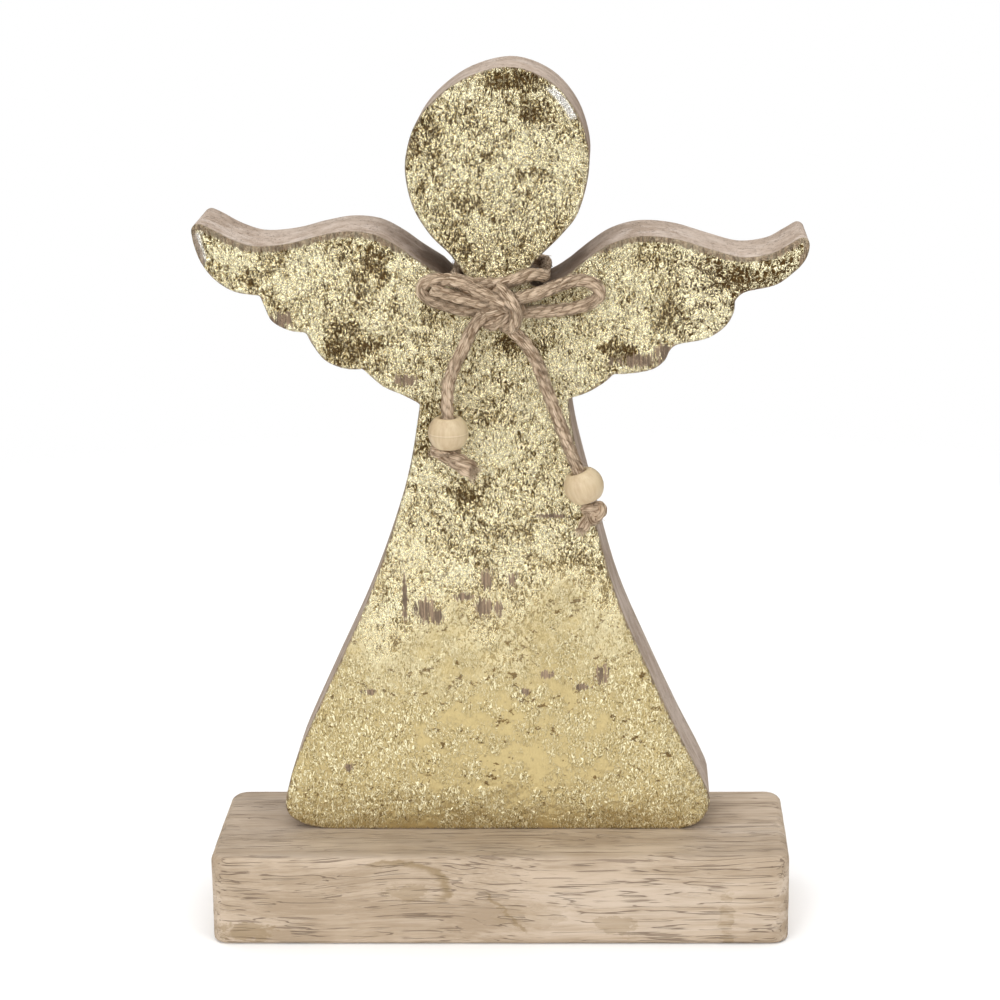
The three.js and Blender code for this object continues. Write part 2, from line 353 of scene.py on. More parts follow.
def washed_wood(name, grain, pale, dark):
    """Open-pored hardwood under a thin white wash, with its grain along X or Z."""
    wood = Finish(name)
    here = wood.place()
    pore_and_shade = settings().wood.pore_and_shade

    def drawn_out(share):
        """A scale that draws features out along the grain, the more the smaller the share."""
        return (share, 1, 1) if grain == "X" else (1, 1, share)

    bend = wood.noise(24.0, wood.place(drawn_out(0.35)), detail=1) - 0.5
    sweep = bend * 9.0
    sideways = wood.node("ShaderNodeCombineXYZ", {}, {0: sweep, 1: sweep, 2: sweep})
    swept = wood.node(
        "ShaderNodeVectorMath", {"operation": "ADD"}, {0: wood.place(drawn_out(0.06)), 1: sideways}
    )
    bands = wood.noise(4.5, swept, detail=4, rough=0.6)
    fibres = wood.noise(0.55, swept, detail=3, rough=0.65)

    # Pores: thin contour lines of a drawn-out noise, broken into short runs.
    stretched = wood.node("ShaderNodeMapping", {}, {"Vector": swept, "Scale": drawn_out(0.55)})
    lines = abs(wood.noise(1.15, stretched, detail=1) - 0.5)
    broken = wood.noise(1.8, wood.place(drawn_out(0.16)), detail=2)
    patchy = wood.noise(14.0, here, detail=2)
    thin = lines.ramp(0.024, 0.004) * broken.ramp(0.46, 0.54) * patchy.ramp(0.30, 0.46)
    second = wood.noise(1.0, stretched, detail=2, rough=0.5)
    pores = thin.higher(second.ramp(0.65, 0.70) * 0.8)
    pits = fibres.ramp(0.58, 0.72)

    clouds = wood.noise(20.0, here, detail=3, rough=0.6)
    tone = (bands * 0.55 + fibres * 0.35 + clouds * 0.35).ramp(0.50, 0.76)
    shade = wood.mix(tone, dark, pale)
    washed = wood.noise(9.0, swept, detail=4, rough=0.7).ramp(0.5, 0.68)
    shade = wood.mix(washed * 0.5, shade, [c * 0.85 + 0.14 for c in pale])
    shade = wood.mix(pits * 0.22, shade, pore_and_shade)
    shade = wood.mix(pores * 0.72, shade, pore_and_shade)
    return wood, here, shade, tone, wood.bump(1 - (pores + pits * 0.3), 0.2, 1.0)


def base_wood():
    sizes = settings().wood
    stain = sizes.stain
    wood, here, shade, tone, bump = washed_wood("block_wood", "X", sizes.base_pale, sizes.base_dark)
    x, y, z = wood.axis("X", here), wood.axis("Y", here), wood.axis("Z", here)
    ragged = wood.noise(2.5, wood.place((0.5, 1, 1)), detail=4, rough=0.7) - 0.5

    # A dried water mark on the front: part of a ring, and a line that runs down from it.
    front = y.ramp(-20.0, -22.0)
    across = (x + 28.0) * (1 / 13.0)
    up = (z - 15.5) * (1 / 7.0)
    ring = (across * across + up * up) ** 0.5 + ragged * 0.5
    mark = ring.ramp(0.80, 1.02) * ring.ramp(1.14, 1.05) * (across + up).ramp(0.0, 0.8)
    run = abs(z - (9.2 - x * 0.97) + ragged * 7.0).ramp(0.75, 0.3) * abs(x).ramp(6.0, 4.5)

    drip = oval(x, z, (56.5, 7.0, 2.0, 7.0), ragged * 3.2) * (0.4 + tone.ramp(0.7, 0.3, 0, 0.6))
    knot = oval(x, z, (28.0, 5.5, 6.0, 3.0), ragged * 3.0)
    knot = knot.higher(oval(x, z, (-24.5, 14.5, 6.0, 2.6), ragged * 3.0))
    corner = oval(x, z, (-67.0, 3.5, 8.0, 2.6), ragged * 3.2)
    smudge = oval(x, z, (6.0, 8.0, 10.0, 4.0), ragged * 2.0)
    shade = wood.mix(mark * front * 0.75, shade, stain)
    shade = wood.mix(run * front * 0.6, shade, stain)
    shade = wood.mix((drip + corner + knot * 0.7).clamped() * 0.55, shade, stain)
    shade = wood.mix(smudge * 0.22, shade, stain)

    # Painted shade: the top is painted greyer, most of all at its left end.
    top = z.ramp(23.2, 23.9)
    grey = wood.noise(14.0, wood.place((0.5, 1, 1)), detail=3, rough=0.6).ramp(0.42, 0.66)
    left = x.ramp(10.0, -40.0, 0.1, 0.3)
    shade = wood.mix(top * (grey * 0.3 + left), shade, sizes.shaded_top)
    return wood.set(base_color=shade, roughness=tone.ramp(0, 1, 0.75, 0.62), normal=bump)


def plank_wood():
    sizes = settings().wood
    wood, here, shade, tone, bump = washed_wood("plank_wood", "Z", sizes.plank_pale, sizes.plank_dark)
    worn = wood.noise(5.0, here, detail=4, rough=0.7)
    side, depth, height = abs(wood.axis("X", here)), wood.axis("Y", here), wood.axis("Z", here)
    front_edge = depth.ramp(-2.6, -4.0)
    shade = wood.mix(worn.ramp(0.5, 0.62) * front_edge * 0.7, shade, sizes.stain)
    # Painted shade on the wings' inner sides beside the neck, in the pore colour.
    notch_shade = oval(side, height, (12.0, 171.5, 11.0, 7.0), worn - 0.5) * depth.ramp(19.3, 17.0)
    shade = wood.mix(notch_shade * 0.72, shade, sizes.pore_and_shade)
    return wood.set(base_color=shade, roughness=tone.ramp(0, 1, 0.75, 0.6), normal=bump)


# Ragged ovals (x, z, half width, half height) where the leaf is tarnished, worn through or painted with a
# near-white glare highlight.
TARNISHED = [
    (-17.5, 205.0, 4.0, 8.0), (2.0, 218.0, 7.0, 2.4), (7.5, 195.3, 6.5, 1.9), (-6.0, 187.0, 4.0, 2.6),
    (7.0, 210.0, 2.2, 2.4), (-19.5, 191.0, 2.4, 4.0),
    (5.0, 152.5, 9.0, 2.8), (-60.0, 166.0, 6.0, 7.0), (60.0, 168.0, 13.0, 6.0), (44.0, 158.0, 9.0, 6.0),
    (-40.0, 152.0, 7.0, 6.0), (-8.0, 118.0, 9.0, 4.0), (-31.0, 172.0, 6.0, 5.0), (30.0, 150.0, 6.0, 4.0),
]
WORN = [
    (-25.4, 86.5, 0.7, 6.5), (-20.5, 84.0, 2.4, 3.2), (-17.5, 82.0, 1.8, 2.0), (-4.5, 92.0, 1.3, 2.9),
    (-5.5, 84.5, 2.2, 2.6), (-10.5, 87.5, 2.4, 1.0), (-1.6, 84.6, 0.9, 2.2), (2.0, 92.3, 1.3, 1.6),
    (24.6, 66.8, 2.0, 2.3), (19.8, 63.2, 2.0, 0.8), (10.2, 66.5, 1.6, 1.2), (5.0, 62.0, 1.2, 0.9),
    (40.4, 151.2, 2.8, 2.0), (-54.6, 159.0, 2.8, 2.2), (33.5, 148.9, 6.0, 1.6), (-24.0, 144.0, 3.0, 1.4),
    (-35.0, 62.0, 1.6, 0.8), (-41.0, 41.0, 1.0, 1.4), (12.0, 109.0, 4.0, 0.6),
]
GLARE_SPOTS = [(16.3, 213.5, 5.0, 6.0), (-74.0, 177.0, 2.5, 5.0)]


def metal_leaf():
    """Crinkled gold leaf: broken and bright above, calm and satin on the skirt."""
    sizes = settings().leaf
    gold = Finish("crinkled_leaf")
    here = gold.place()
    x, z = gold.axis("X", here), gold.axis("Z", here)
    drift = gold.noise(20.0, here, detail=3) - 0.5
    upper = (z + drift * 80.0).ramp(56.0, 112.0)
    lower = 1 - upper
    tip = (x + drift * 24.0).ramp(38.0, 50.0)
    cloud = gold.noise(8.0, here, detail=4, rough=0.6)
    mottle = gold.noise(3.0, here, detail=3, rough=0.7) - 0.5

    # Where the leaf is tarnished, and where it is gone: in patches and along the rim.
    rim, far_tarnish, far_wear = (
        gold.node("ShaderNodeAttribute", {"attribute_name": name}, output="Fac")
        for name in ("rim", "tarnish_and_shade", "wear")
    )
    tarnished = (far_tarnish + (cloud - 0.5) * 2.4 + mottle * 2.2).ramp(1.25, 0.3)
    streaky = gold.noise(0.9, gold.place((1.5, 1, 0.3)), detail=3, rough=0.75) - 0.5
    worn = (far_wear + streaky * 4.0).ramp(1.05, 0.85)
    frayed = gold.noise(1.1, gold.place((1.3, 1, 0.4)), detail=3, rough=0.75) - 0.5
    wing_top = z.ramp(172.0, 175.0) * abs(x).ramp(22.0, 27.0)
    edge = (rim - frayed * 3.0 - wing_top * 1.1).ramp(0.5, 0.1)
    gone = worn.higher(edge * 0.85)

    # Above: creases, with painted shade in their valleys and painted highlights on their ridges, and thin
    # wires of painted highlight that are strongest on the right wing's tip.
    slant = gold.place(turn=(0, 28, 0), scale=(1.25, 1, 0.7))
    crease = gold.noise(1.15, slant, detail=2, rough=0.6, warp=1.8)
    fine = gold.noise(0.6, slant, detail=1, warp=1.0)
    level = crease * 0.75 + fine * 0.25 + (cloud - 0.5) * 0.42 - tarnished * 0.10 + 0.035
    valley = (level - tip * 0.03).ramp(0.485, 0.435)
    ridge = level.ramp(0.495, 0.55)
    contour = gold.noise(2.3, gold.place(turn=(0, 15, 0), shift=(5, 0, 2)), detail=1, warp=1.6)
    wires = abs(contour - 0.5).ramp(0.036, 0.010)

    # On the skirt: clusters of strokes with painted highlights, dark nicks, and a few cracks.
    cluster = gold.noise(6.0, gold.place(shift=(3, 0, 8)), detail=3, rough=0.65)
    crowd = cluster + abs(x).ramp(14.0, 38.0) * 0.12
    dashes = gold.noise(0.95, gold.place(turn=(0, 40, 0), scale=(1.4, 1, 0.65)), detail=2, warp=2.2)
    strokes = dashes.ramp(0.545, 0.58) * crowd.ramp(0.38, 0.56)
    nicks = dashes.ramp(0.40, 0.36) * crowd.ramp(0.42, 0.58)
    cracks = gold.noise(3.0, gold.place(turn=(0, -30, 0), scale=(0.9, 1, 1.2)), detail=4, rough=0.75)
    cracks = (cracks - z.ramp(60.0, 20.0) * 0.025).ramp(0.60, 0.63)

    bump = gold.bump(gold.noise(11.0, here, detail=1), 0.9, 1.0)
    bump = gold.bump(level * (1 - tip * 0.5) + wires * (tip * 0.22 + 0.06), 1.15, upper, bump)
    bump = gold.bump(strokes - nicks * 0.6, 0.32, lower, bump)
    bump = gold.bump(fine, 0.08, 1.0, bump)

    shade = gold.mix(gold.noise(16.0, here, detail=2), [c * 0.9 for c in sizes.satin], sizes.satin)
    waist = z.ramp(112.0, 96.0) * z.ramp(82.0, 92.0) * mottle.ramp(-0.1, 0.1)
    shade = gold.mix(waist * 0.5, shade, sizes.dull)
    # Painted highlight on the skirt's strokes.
    shade = gold.mix(strokes * lower, shade, sizes.bright)
    shade = gold.mix(nicks * 0.6 * lower, shade, sizes.tarnish_and_shade)
    # Painted highlight on the crease ridges.
    shade = gold.mix(ridge * upper, shade, sizes.bright)
    # Painted shade in the crease valleys.
    shade = gold.mix(valley * upper * 0.95, shade, sizes.tarnish_and_shade)
    # The right wing's tip is painted darker between its ridges.
    shade = gold.mix(tip * (1 - ridge) * 0.35, shade, sizes.tarnish_and_shade)
    # Painted highlight along the thin wires.
    shade = gold.mix(wires * (tip * 0.7 + upper * 0.3), shade, sizes.bright)
    shade = gold.mix(cracks * (0.85 - upper * 0.4), shade, [c * 1.6 for c in sizes.tarnish_and_shade])
    # Painted highlight: near-white glare on two spots near the rim.
    head_glare, wing_glare = (oval(x, z, spot, mottle) for spot in GLARE_SPOTS)
    inside = rim.ramp(0.25, 0.6) * rim.ramp(2.6, 1.6)
    shade = gold.mix(head_glare.higher(wing_glare) * inside, shade, sizes.glare)
    grain = gold.noise(0.5, gold.place((1, 1, 0.06)), detail=2).ramp(0.35, 0.65)
    bare = gold.mix(grain, [c * 0.45 for c in sizes.bare], sizes.bare)
    shade = gold.mix(gone, shade, bare)
    return gold.set(
        base_color=shade,
        metallic=0.95 - gone * 0.9,
        roughness=upper.ramp(0, 1, 0.34, 0.18) + gone * 0.4,
        normal=bump,
    )


def jute():
    """Dry, pale brown bast fibres that run along each ply."""
    sizes = settings().twine
    twine = Finish("jute_fibres")
    fibre = twine.node("ShaderNodeAttribute", {"attribute_name": "fibre"}, output="Vector")
    lengths = twine.node("ShaderNodeMapping", {}, {"Vector": fibre, "Scale": (1.0, 1.0, 0.09)})
    strand = twine.noise(0.34, lengths, detail=3, rough=0.6)
    batch = twine.noise(2.5, twine.place(), detail=2)
    tone = (strand * 0.85 + batch * 0.25).ramp(0.42, 0.66)
    shade = twine.mix(tone, sizes.dark, sizes.pale)
    # Painted highlight: a few fibres are painted in the palest colour.
    shade = twine.mix(strand.ramp(0.62, 0.7) * 0.6, shade, sizes.fibre_highlight)
    return twine.set(base_color=shade, roughness=0.85, normal=twine.bump(strand, 0.2, 1.0))


def bead_wood(name, centre, tilt):
    """Fine pale wood, turned about the bead's own axis. The upright bead has a grooved line round its
    middle, with painted shade in it and a painted highlight just above it.
    """
    sizes = settings().beads
    wood = Finish(name)
    point = wood.place(shift=[-c / MM for c in centre])
    turned = wood.node("ShaderNodeVectorRotate", {"rotation_type": "Y_AXIS"}, {0: point, 3: tilt})
    long = wood.node("ShaderNodeMapping", {}, {"Vector": turned, "Scale": (1, 1, 0.12)})
    grain = wood.noise(0.7, long, detail=3, rough=0.6)
    broad = wood.noise(3.0, long, detail=1)
    tone = (grain * 0.5 + broad * 0.6).ramp(0.3, 0.75)
    shade = wood.mix(tone, sizes.dark, sizes.pale)
    bump = None
    if not tilt:
        height = wood.axis("Z", turned)
        # Painted shade in the groove round the middle, and a painted highlight just above it.
        line = abs(height + 0.1).ramp(0.16, 0.05)
        shade = wood.mix(line * 0.2, shade, [c * 0.8 for c in sizes.dark])
        shade = wood.mix(abs(height - 0.15).ramp(0.2, 0.05) * 0.3, shade, sizes.lip_highlight)
        bump = wood.bump(1 - line, 0.08, 0.7)
    bump = wood.bump(grain, 0.04, 0.6, bump)
    return wood.set(base_color=shade, roughness=tone.ramp(0, 1, 0.5, 0.42), normal=bump)


def screw_steel():
    steel = Finish("screw_steel")
    turned = steel.noise(0.4, steel.place((1, 1, 4)), detail=3)
    shade = steel.mix(turned, (0.46, 0.45, 0.43), (0.66, 0.65, 0.62))
    return steel.set(
        base_color=shade, metallic=1.0, roughness=turned.ramp(0, 1, 0.5, 0.3),
        normal=steel.bump(turned, 0.03, 0.5),
    )


# ---------------------------------------------------------------- twine
def route(corners, closed=False, step=0.3):
    """Points step millimetres apart on the smooth curve through corners [x, out of the face, z]."""
    corners = [Vector((x * MM, FRONT - out * MM, z * MM)) for x, out, z in corners]
    if not closed:
        corners = [2 * corners[0] - corners[1], *corners, 2 * corners[-1] - corners[-2]]
    count = len(corners)
    spans = range(count) if closed else range(1, count - 2)
    dense = []
    for i in spans:
        before, here, there, after = (corners[(i + k) % count] for k in (-1, 0, 1, 2))
        for share in (k / 24 for k in range(24)):
            dense.append(
                here
                + (there - before) * share / 2
                + (before - 2.5 * here + 2 * there - after / 2) * share**2
                + (1.5 * here - before / 2 - 1.5 * there + after / 2) * share**3
            )
    dense.append(dense[0] if closed else corners[-2])
    whole = sum((b - a).length for a, b in zip(dense, dense[1:]))
    pieces = round(whole / (step * MM))
    points, gone, wanted = [], 0.0, 0.0
    for a, b in zip(dense, dense[1:]):
        long = (b - a).length
        while wanted <= gone + long and len(points) < pieces:
            points.append(a.lerp(b, (wanted - gone) / long if long else 0))
            wanted += whole / pieces
        gone += long
    return points if closed else points + [dense[-1]]


def length_of(points):
    """Length along a line of points, in metres."""
    return sum((b - a).length for a, b in zip(points, points[1:]))


def steady_frames(points, closed):
    """Two directions across the line at each point, which don't spin as the line bends."""
    count = len(points)
    if closed:
        ahead = [(points[(i + 1) % count] - points[i - 1]).normalized() for i in range(count)]
    else:
        ahead = [
            (points[min(i + 1, count - 1)] - points[max(i - 1, 0)]).normalized() for i in range(count)
        ]
    across = [ahead[0].orthogonal().normalized()]
    for a, b in zip(ahead, ahead[1:]):
        across.append((a.rotation_difference(b) @ across[-1]).normalized())
    if closed:
        back = ahead[-1].rotation_difference(ahead[0]) @ across[-1]
        gap = math.atan2(back.cross(across[0]).dot(ahead[0]), back.dot(across[0]))
        across = [
            Quaternion(ahead[i], gap * i / count) @ across[i] for i in range(count)
        ]
    return [(side, along.cross(side)) for along, side in zip(ahead, across)]


class Yarn:
    """Gathers plies and fibres as tubes, and becomes one mesh with a fibre coordinate."""

    def __init__(self, name, seed):
        self.name = name
        self.points, self.faces, self.fibres = [], [], []
        self.random = random.Random(seed)

    def tube(self, line, radius, sides, turns=0.0, ridge=0.0, closed=False, phase=0.0):
        """radius(share) in millimetres; turns is how often the surface fibres go round."""
        start, count = len(self.points), len(line)
        for i, (point, (side, up)) in enumerate(zip(line, steady_frames(line, closed))):
            share = i / count
            thick = radius(share)
            for k in range(sides):
                angle = 2 * math.pi * (k / sides + turns * share) + phase
                reach = thick * (1 + (ridge if k % 2 else -ridge)) * MM
                self.points.append(point + (side * math.cos(angle) + up * math.sin(angle)) * reach)
                plain = 2 * math.pi * k / sides
                self.fibres.append((math.cos(plain), math.sin(plain), i * 0.3 + phase * 7))
        rings = count if closed else count - 1
        for i in range(rings):
            here, there = start + i * sides, start + (i + 1) % count * sides
            for k in range(sides):
                n = (k + 1) % sides
                self.faces.append((here + k, here + n, there + n, there + k))
        if not closed:
            self.faces.append(tuple(start + k for k in reversed(range(sides))))
            self.faces.append(tuple(start + (count - 1) * sides + k for k in range(sides)))

    def twist(self, line, closed=False, size=1.0, flare=None):
        """Three plies laid left-handed round the line; flare(share) opens them."""
        twine = settings().twine
        flare = flare or (lambda share: 1.0)
        whole = length_of(line) / MM
        turns = -max(1, round(whole / (twine.lay / MM))) if closed else -whole / (twine.lay / MM)
        seats = steady_frames(line, closed)
        for ply in range(PLIES):
            shift = self.random.uniform(0, 50)
            middle = []
            for i, (point, (side, up)) in enumerate(zip(line, seats)):
                share = i / len(line)
                wobble = 1 + 0.1 * noise.noise(Vector((i * 0.11, shift, ply)))
                if closed:
                    wobble = 1.0
                angle = 2 * math.pi * (ply / PLIES + turns * share)
                reach = twine.ply_offset * wobble * size * flare(share)
                middle.append(point + (side * math.cos(angle) + up * math.sin(angle)) * reach)
            thick = twine.ply_radius / MM * size

            def radius(share, shift=shift):
                rough = noise.noise(Vector((share * whole * 0.45, shift, 3.0)))
                return thick * (1 + (0.0 if closed else 0.13 * rough)) * (0.5 + 0.5 * flare(share))

            self.tube(middle, radius, FIBRE_RIDGES * 2, -turns * 0.8, 0.055, closed, phase=shift)

    def fuzz(self, line, per_mm, size=1.0, closed=False):
        """Loose fibres that lie along the twine and lift away from it."""
        seats = steady_frames(line, closed)
        twine = settings().twine
        skin = (twine.ply_offset + twine.ply_radius) * size
        for _ in range(int(length_of(line) / MM * per_mm)):
            first = self.random.randrange(len(line))
            heading = self.random.choice((-1, 1))
            steps = self.random.randint(3, 6)
            stride = self.random.uniform(1.5, 4.0)
            angle = self.random.uniform(0, 2 * math.pi)
            drift = self.random.uniform(-0.35, 0.35)
            lift = self.random.uniform(0.1, 1.0) ** 2 * 1.1 * MM
            hair = []
            for k in range(steps + 1):
                at = int(first + heading * stride * k)
                at = at % len(line) if closed else min(max(at, 0), len(line) - 1)
                side, up = seats[at]
                far = skin * 0.93 + lift * (k / steps) ** 1.6
                turn = angle + drift * k
                spot = line[at] + (side * math.cos(turn) + up * math.sin(turn)) * far
                if not hair or (spot - hair[-1]).length > 0.05 * MM:
                    hair.append(spot)
            if len(hair) > 2:
                self.tube(hair, lambda share: 0.1 - 0.05 * share, 3)

    def fray(self, centre, aim, count, reach, spread, thick=0.1):
        """Cut ends: fibres that fan out from a point [x, out, z] towards aim."""
        origin = Vector((centre[0] * MM, FRONT - centre[1] * MM, centre[2] * MM))
        ahead = Vector((aim[0], -aim[1], aim[2])).normalized()
        side = ahead.orthogonal().normalized()
        up = ahead.cross(side)
        for _ in range(count):
            angle = self.random.uniform(0, 2 * math.pi)
            off = self.random.uniform(0, 1) ** 0.5
            lean = (side * math.cos(angle) + up * math.sin(angle)) * off
            long = reach * self.random.uniform(0.6, 1.15) * MM
            curl = Vector([self.random.uniform(-1, 1) for _ in range(3)]) * 0.12
            hair = []
            for k in range(6):
                share = k / 5
                hair.append(
                    origin
                    + lean * spread * MM * (0.55 + 0.55 * share)
                    + (ahead + lean * 0.12 + curl * share) * long * share
                )
            self.tube(hair, lambda share: thick * (1 - 0.6 * share), 4)

    def piece(self):
        mesh = bpy.data.meshes.new(self.name)
        mesh.from_pydata(self.points, [], self.faces)
        fibre = mesh.attributes.new("fibre", "FLOAT_VECTOR", "POINT")
        fibre.data.foreach_set("vector", [value for fibre in self.fibres for value in fibre])
        mesh.shade_smooth()
        made = bpy.data.objects.new(self.name, mesh)
        bpy.context.scene.collection.objects.link(made)
        return made


# ---------------------------------------------------------------- pieces
SCREWS = ("base_screw_left", "base_screw_right")


def screw_cutter(screw):
    """The shape of a screw's hole: a shaft, and a sink that opens downwards for the head."""
    low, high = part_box(screw)
    x, y, wide = (low.x + high.x) / 2, (low.y + high.y) / 2, (high.x - low.x) / 2 + 0.3 * MM
    sink = low.z + 0.6 * MM
    deselect()
    bpy.ops.mesh.primitive_cone_add(
        vertices=48, radius1=wide, radius2=0, depth=wide, location=(x, y, sink + wide / 2)
    )
    cutter = bpy.context.object
    select_where(cutter, lambda points: all(p.z < 0 for p in points), "FACE")
    bpy.ops.mesh.extrude_region_move(TRANSFORM_OT_translate={"value": (0, 0, -3 * MM)})
    bpy.ops.mesh.select_all(action="SELECT")
    bpy.ops.mesh.bisect(
        plane_co=(0, 0, sink + wide - settings().wood.screw_hole), plane_no=(0, 0, 1),
        clear_outer=True, use_fill=True,
    )
    select_where(
        cutter, lambda points: all(p.z > wide / 2 - 1.1 * settings().wood.screw_hole for p in points),
        "FACE",
    )
    bpy.ops.mesh.extrude_region_move(TRANSFORM_OT_translate={"value": (0, 0, 30 * MM)})
    bpy.ops.object.mode_set(mode="OBJECT")
    return cutter


def make_base():
    sizes = settings().wood
    spare = Vector((0.4 * MM, 0.1 * MM, 0))
    low, high = BASE_LOW - spare, BASE_HIGH + spare
    size, middle = high - low, (low + high) / 2
    deselect()
    bpy.ops.mesh.primitive_cube_add(size=1, location=middle)
    block = bpy.context.object
    block.name = "base_block_wood"
    bpy.ops.transform.resize(value=size, center_override=middle)
    bpy.ops.object.transform_apply(location=True, rotation=True, scale=True)
    select_where(block, lambda ends: abs(ends[0].z - ends[1].z) > size.z / 2)
    bpy.ops.mesh.bevel(offset=sizes.corner, segments=6, affect="EDGES")
    for height, offset in ((high.z, sizes.edge), (low.z, sizes.foot)):
        select_where(block, lambda ends: all(abs(p.z - height) < 0.01 * MM for p in ends))
        bpy.ops.mesh.bevel(offset=offset, segments=5, affect="EDGES")
    apply_modifier(block, "REMESH", mode="VOXEL", voxel_size=0.7 * MM, adaptivity=0.0)
    uneven = bpy.data.textures.new("sanded_unevenness", "CLOUDS")
    uneven.noise_scale = 14 * MM
    apply_modifier(
        block, "DISPLACE", texture=uneven, texture_coords="LOCAL", strength=sizes.unevenness,
        mid_level=0.6,
    )
    edit_all(block)
    cut_off(low, (0, 0, -1))
    for screw in SCREWS:
        cutter = screw_cutter(screw)
        apply_modifier(block, "BOOLEAN", object=cutter, operation="DIFFERENCE", solver="EXACT")
        bpy.data.objects.remove(cutter)
    smooth(block, 40)
    dress(block, base_wood(), "base_wood", "figurine", "base_block")
    steel = screw_steel()
    for screw in SCREWS:
        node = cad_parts[screw]
        node.data.materials.clear()
        node.data.materials.append(steel)


def make_plank():
    plank = copy_of_node("angel_figure", "angel_figure_wood")
    select_where(
        plank,
        lambda ends: all(p.y < WOOD_FRONT + 0.01 * MM for p in ends)
        or all(p.y > WOOD_BACK - 0.01 * MM for p in ends),
    )
    bpy.ops.mesh.bevel(
        offset=settings().wood.plank_edge, offset_type="OFFSET", segments=3, clamp_overlap=False
    )
    bpy.ops.object.mode_set(mode="OBJECT")
    smooth(plank, 40)
    dress(plank, plank_wood(), "figure_wood", "figurine", "angel_figure")


def mark_leaf(sheet, outline):
    """Notes on each point how far it is from the rim, and from the nearest worn or tarnished place."""
    rim = KDTree(len(outline))
    for i, spot in enumerate(outline):
        rim.insert((spot.x, 0, spot.z), i)
    rim.balance()
    values = {"rim": [], "tarnish_and_shade": [], "wear": []}
    for vertex in sheet.data.vertices:
        spot = vertex.co
        values["rim"].append(rim.find((spot.x, 0, spot.z))[2] / MM)
        x, z = spot.x / MM, spot.z / MM
        for name, places in (("tarnish_and_shade", TARNISHED), ("wear", WORN)):
            values[name].append(
                min(math.hypot((x - cx) / wide, (z - cz) / high) for cx, cz, wide, high in places)
            )
    for name, numbers in values.items():
        sheet.data.attributes.new(name, "FLOAT", "POINT").data.foreach_set("value", numbers)


def make_leaf():
    sizes = settings().leaf
    piece = copy_of_node("gold_leaf", "gold_leaf_sheet")
    outline = []
    for edge in piece.data.edges:
        a, b = (piece.data.vertices[i].co for i in edge.vertices)
        if max(a.y, b.y) < FRONT + 0.01 * MM:
            steps = max(1, int((b - a).length / (0.3 * MM)))
            outline += [a.lerp(b, k / steps) for k in range(steps)]
    edit_all(piece)
    bpy.ops.transform.resize(value=(1, 8, 1), center_override=(0, FRONT, 0))
    bpy.ops.object.mode_set(mode="OBJECT")
    apply_modifier(piece, "REMESH", mode="VOXEL", voxel_size=sizes.sheet_step, adaptivity=0.0)
    edit_all(piece)
    cut_off((0, FRONT + 0.75 * MM, 0), (0, 1, 0))
    folds = bpy.data.textures.new("leaf_folds", "VORONOI")
    folds.noise_scale = 2.6 * MM
    folds.weight_1, folds.weight_2 = -1.0, 1.0
    creases = bpy.data.textures.new("leaf_creases", "CLOUDS")
    creases.noise_scale = 1.3 * MM
    for texture, level in ((folds, 0.3), (creases, 0.5)):
        apply_modifier(
            piece, "DISPLACE", texture=texture, texture_coords="LOCAL", direction="Y",
            strength=sizes.fold, mid_level=level,
        )
    mark_leaf(piece, outline)
    piece.data.shade_smooth()
    dress(piece, metal_leaf(), "gold_leaf", "figurine", "gold_leaf")


# The twine's way, as [x, out of the gilded face, z] in millimetres.
NECK_BAND = [
    (-11.2, -12, 169.4), (-11.4, -1.6, 169.6), (-10.4, 1, 169.5), (-7.8, 1.9, 169),
    (-2.6, 1.9, 168.6), (2, 1.9, 169.3), (6.6, 1.9, 170.9), (9.4, 1, 170.9), (10.4, -1.6, 170.1),
    (10.3, -12, 169.4), (10.3, -22.4, 169.4), (9.7, -25, 169.3), (7, -25.8, 169),
    (-0.5, -25.8, 168.7), (-7.8, -25.8, 169), (-10.6, -25, 169.3), (-11.2, -22.4, 169.4),
]
LEFT_LOOP = [
    (-1.2, 5.6, 165.6), (-5.4, 5.7, 167.9), (-9.8, 5.7, 169.9), (-14.4, 4.6, 170.4),
    (-18, 3.5, 169.6), (-19.4, 3, 167.7), (-18.2, 2.6, 165.7), (-14.8, 2.4, 164),
    (-10.8, 2.4, 162.7), (-7, 2.5, 162.1), (-2.5, 3, 162.6),
]
RIGHT_LOOP = [
    (3, 3, 162.2), (8, 2.5, 161.8), (13, 2.4, 162.2), (18, 2.4, 162.9), (22.2, 2.7, 164.3),
    (24.4, 3.3, 166.6), (22.6, 4, 169.3), (18.8, 4.4, 170.2), (14.2, 4.8, 168.9),
    (9.2, 5, 167), (4, 5.2, 165.6),
]
KNOT_WRAP = [
    (-0.6, 4.2, 168), (0.9, 6.4, 167.6), (2.6, 7.8, 165.6), (3.9, 8.2, 163), (3.7, 7.8, 160.6),
    (2.6, 6.4, 158.8), (0.9, 4, 158.6),
]
KNOT_BRIDGE = [
    (-9.5, 3.6, 168.2), (-6.2, 5.2, 167.2), (-3, 6.4, 166.4), (-0.2, 6.9, 165.2),
    (2, 6.2, 163.4), (4.4, 4.6, 162.2),
]
KNOT_LOBE = [
    (2.6, 5.6, 162.4), (1, 6.2, 161), (-0.9, 6, 159.8), (-2.6, 5, 159.2), (-3.6, 3.4, 159.8),
]
KNOT_FOLD = [
    (-4.2, 4.8, 162.4), (-2.2, 5.8, 162.4), (-0.2, 5.8, 162.8), (1.8, 5, 163.8), (3.4, 3.6, 165.2),
]
KNOT_CORE = [
    (-3, 2.6, 165.6), (0.2, 3.6, 166.2), (3.4, 3.4, 165), (4.6, 3.4, 162.6), (2.6, 3.2, 160.6),
    (-0.6, 3, 161.2), (-3, 2.8, 162.4),
]
